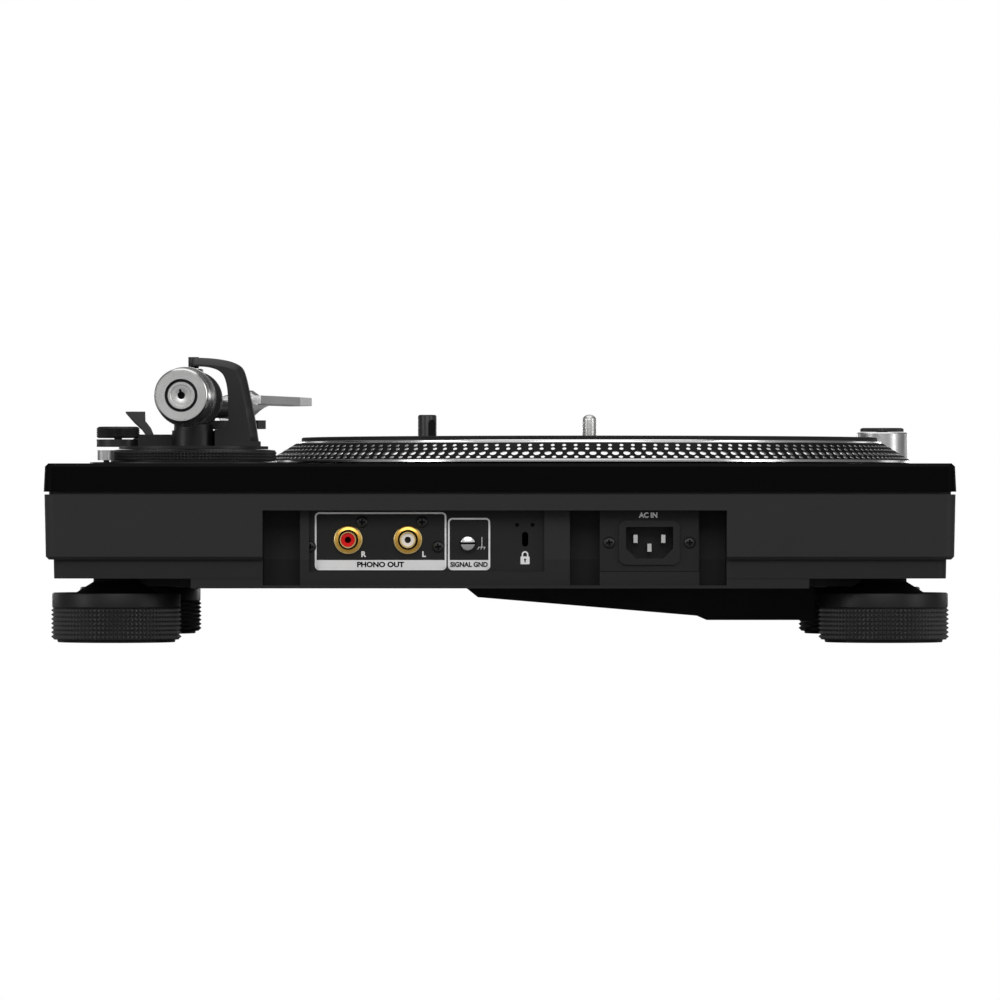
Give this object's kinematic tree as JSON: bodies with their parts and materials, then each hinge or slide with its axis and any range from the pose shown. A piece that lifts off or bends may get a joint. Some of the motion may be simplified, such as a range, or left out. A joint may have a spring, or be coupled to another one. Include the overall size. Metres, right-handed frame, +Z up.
{
  "type": "turntable record player",
  "caption": "Direct drive record player with a rotating platter, an S shaped tonearm on a height adjustable base, rear terminals and screw-in feet.",
  "frame": {"origin": "on the ground, under the middle of the case", "axes": "+X to the right seen from the front, +Y to the rear, +Z up"},
  "size_m": [0.453, 0.353, 0.1439],
  "materials": {
    "black_cast": "satin black paint",
    "charcoal_shell": "fine matt charcoal",
    "charcoal_base": "fine matt charcoal",
    "panel_black": "matt black",
    "inlet_plastic": "moulded black",
    "steel": "bright",
    "brass_insert": "turned",
    "gold": "gold plated",
    "red_plastic": "gloss",
    "white_plastic": "gloss",
    "chrome_screw": "polished",
    "black_screw": "black oxide",
    "copper_board": "wound coils on a board",
    "platter_aluminium": "polished and turned",
    "magnet": "sintered",
    "mat_rubber": "matt",
    "board": "solder mask",
    "button_metal": "satin",
    "scale_plate": "satin",
    "knob_plastic": "fine matt",
    "lamp_black": "satin",
    "silver": "satin turned",
    "silver_weight": "satin turned",
    "strobe_lens": "clear red",
    "arm_black": "satin black",
    "arm_tube": "satin black",
    "foot_black": "fine matt",
    "foot_rubber": "matt"
  },
  "bodies": {
    "case": {"top_panel": "black_cast", "mid_chassis": "charcoal_shell", "bottom_base": "charcoal_base", "bottom_cover": "charcoal_base", "cover_screws": "steel", "foot_inserts": "brass_insert", "terminal_panel": "panel_black", "mains_panel": "panel_black", "phono_sockets": "gold", "phono_insulator_red": "red_plastic", "phono_insulator_white": "white_plastic", "panel_screws": "black_screw", "mains_inlet": "inlet_plastic", "mains_pins": "steel", "bearing_housing": "brass_insert", "motor_stator": "copper_board", "circuit_board": "board", "power_supply": "board", "tempo_scale_plate": "scale_plate", "tempo_fader": "inlet_plastic", "strobe_pod": "silver", "strobe_window": "strobe_lens", "tonearm_mount": "arm_black"},
    "platter_body": {"platter": "platter_aluminium", "spindle": "steel", "rotor_magnet": "magnet", "mat": "mat_rubber"},
    "ground_terminal": {"ground_screw": "chrome_screw"},
    "start_stop": {"start_stop_button": "button_metal"},
    "speed_33": {"speed_button_33": "button_metal"},
    "speed_45": {"speed_button_45": "button_metal"},
    "tempo_range": {"tempo_range_button": "button_metal"},
    "tempo_reset": {"reset_button": "button_metal"},
    "tempo_slider": {"tempo_knob": "knob_plastic"},
    "lamp": {"target_lamp": "lamp_black"},
    "power": {"power_dial": "knob_plastic"},
    "lock_lever": {"height_lock_lever": "silver"},
    "ring": {"height_ring": "arm_black"},
    "base": {"arm_base": "arm_black", "arch_post": "arm_black", "arm_rest": "knob_plastic"},
    "skate": {"anti_skate_dial": "arm_black"},
    "cue": {"cue_lever": "arm_black"},
    "lifter": {"cue_lifter": "arm_black"},
    "clip": {"arm_clip": "knob_plastic"},
    "gimbal": {"gimbal_ring": "arm_black"},
    "arm": {"tonearm_tube": "arm_tube", "headshell": "silver"},
    "collar": {"locking_collar": "silver"},
    "weight_carrier": {"counterweight_bush": "silver"},
    "weight": {"counterweight": "silver_weight"},
    "pressure_dial": {"pressure_ring": "silver"},
    "foot_stud_front_left": {"foot_mount_front_left": "foot_rubber"},
    "foot_front_left": {"foot_disc_front_left": "foot_black"},
    "foot_stud_front_right": {"foot_mount_front_right": "foot_rubber"},
    "foot_front_right": {"foot_disc_front_right": "foot_black"},
    "foot_stud_rear_left": {"foot_mount_rear_left": "foot_rubber"},
    "foot_rear_left": {"foot_disc_rear_left": "foot_black"},
    "foot_stud_rear_right": {"foot_mount_rear_right": "foot_rubber"},
    "foot_rear_right": {"foot_disc_rear_right": "foot_black"}
  },
  "joints": [
    {"name": "platter_spin", "type": "hinge", "parent": "case", "child": "platter_body", "pos_m": [-0.0463, 0, 0.09], "axis": [0, 0, 1], "continuous": true},
    {"name": "power_dial_turn", "type": "hinge", "parent": "case", "child": "power", "pos_m": [-0.2027, -0.1, 0.108], "axis": [0, 0, -1], "range_deg": [0, 45]},
    {"name": "start_stop_press", "type": "slide", "parent": "case", "child": "start_stop", "axis": [0, 0, -1], "range_m": [0, 0.0012], "stiffness_N_per_m": 300, "springref_m": -0.001},
    {"name": "speed_33_press", "type": "slide", "parent": "case", "child": "speed_33", "axis": [0, 0, -1], "range_m": [0, 0.0009], "stiffness_N_per_m": 300, "springref_m": -0.001},
    {"name": "speed_45_press", "type": "slide", "parent": "case", "child": "speed_45", "axis": [0, 0, -1], "range_m": [0, 0.0009], "stiffness_N_per_m": 300, "springref_m": -0.001},
    {"name": "tempo_range_press", "type": "slide", "parent": "case", "child": "tempo_range", "axis": [0, 0, -1], "range_m": [0, 0.0009], "stiffness_N_per_m": 300, "springref_m": -0.001},
    {"name": "reset_press", "type": "slide", "parent": "case", "child": "tempo_reset", "axis": [0, 0, -1], "range_m": [0, 0.0009], "stiffness_N_per_m": 300, "springref_m": -0.001},
    {"name": "tempo_slide", "type": "slide", "parent": "case", "child": "tempo_slider", "axis": [0, -1, 0], "range_m": [-0.05, 0.05]},
    {"name": "target_lamp_press", "type": "slide", "parent": "case", "child": "lamp", "axis": [0, 0, -1], "range_m": [0, 0.022], "stiffness_N_per_m": 20, "springref_m": -0.02},
    {"name": "ground_screw_travel", "type": "slide", "parent": "case", "child": "ground_terminal", "axis": [0, 1, 0], "range_m": [0, 0.0025]},
    {"name": "height_lock_turn", "type": "hinge", "parent": "case", "child": "lock_lever", "pos_m": [0.1991, 0.095, 0.094], "axis": [0, 0, 1], "range_deg": [0, 35]},
    {"name": "height_ring_turn", "type": "hinge", "parent": "case", "child": "ring", "pos_m": [0.1559, 0.073, 0.094], "axis": [0, 0, 1], "range_deg": [0, 300]},
    {"name": "arm_height", "type": "slide", "parent": "case", "child": "base", "axis": [0, 0, 1], "range_m": [0, 0.006]},
    {"name": "anti_skate_turn", "type": "hinge", "parent": "base", "child": "skate", "pos_m": [0.1948, 0.062, 0.105], "axis": [0, 0, -1], "range_deg": [0, 270]},
    {"name": "cue_lever_turn", "type": "hinge", "parent": "base", "child": "cue", "pos_m": [0.1785, 0.038, 0.1015], "axis": [-1, 0, 0], "range_deg": [0, 60]},
    {"name": "cue_lift", "type": "slide", "parent": "base", "child": "lifter", "axis": [0, 0, 1], "range_m": [0, 0.0042]},
    {"name": "arm_clip_close", "type": "hinge", "parent": "base", "child": "clip", "pos_m": [0.16062, 0.01765, 0.1216], "axis": [-0.0558, -0.9984, 0], "range_deg": [0, 100]},
    {"name": "arm_swing", "type": "hinge", "parent": "base", "child": "gimbal", "pos_m": [0.1559, 0.073, 0.1224], "axis": [0, 0, -1], "range_deg": [0, 47]},
    {"name": "arm_tilt", "type": "hinge", "parent": "gimbal", "child": "arm", "pos_m": [0.1559, 0.073, 0.1224], "axis": [-0.9984, 0.0558, 0], "range_deg": [0, 7]},
    {"name": "headshell_lock", "type": "hinge", "parent": "arm", "child": "collar", "pos_m": [0.14116, -0.11052, 0.1192], "axis": [-0.5373, -0.8433, -0.0147], "range_deg": [0, 60]},
    {"name": "weight_travel", "type": "slide", "parent": "arm", "child": "weight_carrier", "axis": [0.0558, 0.9983, 0.0174], "range_m": [-0.004, 0.012]},
    {"name": "weight_turn", "type": "hinge", "parent": "weight_carrier", "child": "weight", "pos_m": [0.15869, 0.12291, 0.12327], "axis": [0.0558, 0.9983, 0.0174], "range_deg": [-720, 2160]},
    {"name": "pressure_ring_turn", "type": "hinge", "parent": "weight", "child": "pressure_dial", "pos_m": [0.15869, 0.12291, 0.12327], "axis": [0.0558, 0.9983, 0.0174], "range_deg": [-180, 180]},
    {"name": "foot_travel_front_left", "type": "slide", "parent": "case", "child": "foot_stud_front_left", "axis": [0, 0, -1], "range_m": [0, 0.006]},
    {"name": "foot_turn_front_left", "type": "hinge", "parent": "foot_stud_front_left", "child": "foot_front_left", "pos_m": [-0.1923, -0.1315, 0.012], "axis": [0, 0, 1], "range_deg": [0, 1440]},
    {"name": "foot_travel_front_right", "type": "slide", "parent": "case", "child": "foot_stud_front_right", "axis": [0, 0, -1], "range_m": [0, 0.006]},
    {"name": "foot_turn_front_right", "type": "hinge", "parent": "foot_stud_front_right", "child": "foot_front_right", "pos_m": [0.1923, -0.1315, 0.012], "axis": [0, 0, 1], "range_deg": [0, 1440]},
    {"name": "foot_travel_rear_left", "type": "slide", "parent": "case", "child": "foot_stud_rear_left", "axis": [0, 0, -1], "range_m": [0, 0.006]},
    {"name": "foot_turn_rear_left", "type": "hinge", "parent": "foot_stud_rear_left", "child": "foot_rear_left", "pos_m": [-0.1923, 0.1315, 0.012], "axis": [0, 0, 1], "range_deg": [0, 1440]},
    {"name": "foot_travel_rear_right", "type": "slide", "parent": "case", "child": "foot_stud_rear_right", "axis": [0, 0, -1], "range_m": [0, 0.006]},
    {"name": "foot_turn_rear_right", "type": "hinge", "parent": "foot_stud_rear_right", "child": "foot_rear_right", "pos_m": [0.1923, 0.1315, 0.012], "axis": [0, 0, 1], "range_deg": [0, 1440]}
  ],
  "couplings": [
    {"joint": "arm_height", "follows": "height_ring_turn", "m_per_rad": 0.0011459},
    {"joint": "cue_lever_turn", "follows": "cue_lift", "rad_per_m": 249.3},
    {"joint": "weight_travel", "follows": "weight_turn", "m_per_rad": 0.00031831},
    {"joint": "foot_turn_front_left", "follows": "foot_travel_front_left", "rad_per_m": 4188.7},
    {"joint": "foot_turn_front_right", "follows": "foot_travel_front_right", "rad_per_m": 4188.7},
    {"joint": "foot_turn_rear_left", "follows": "foot_travel_rear_left", "rad_per_m": 4188.7},
    {"joint": "foot_turn_rear_right", "follows": "foot_travel_rear_right", "rad_per_m": 4188.7}
  ]
}
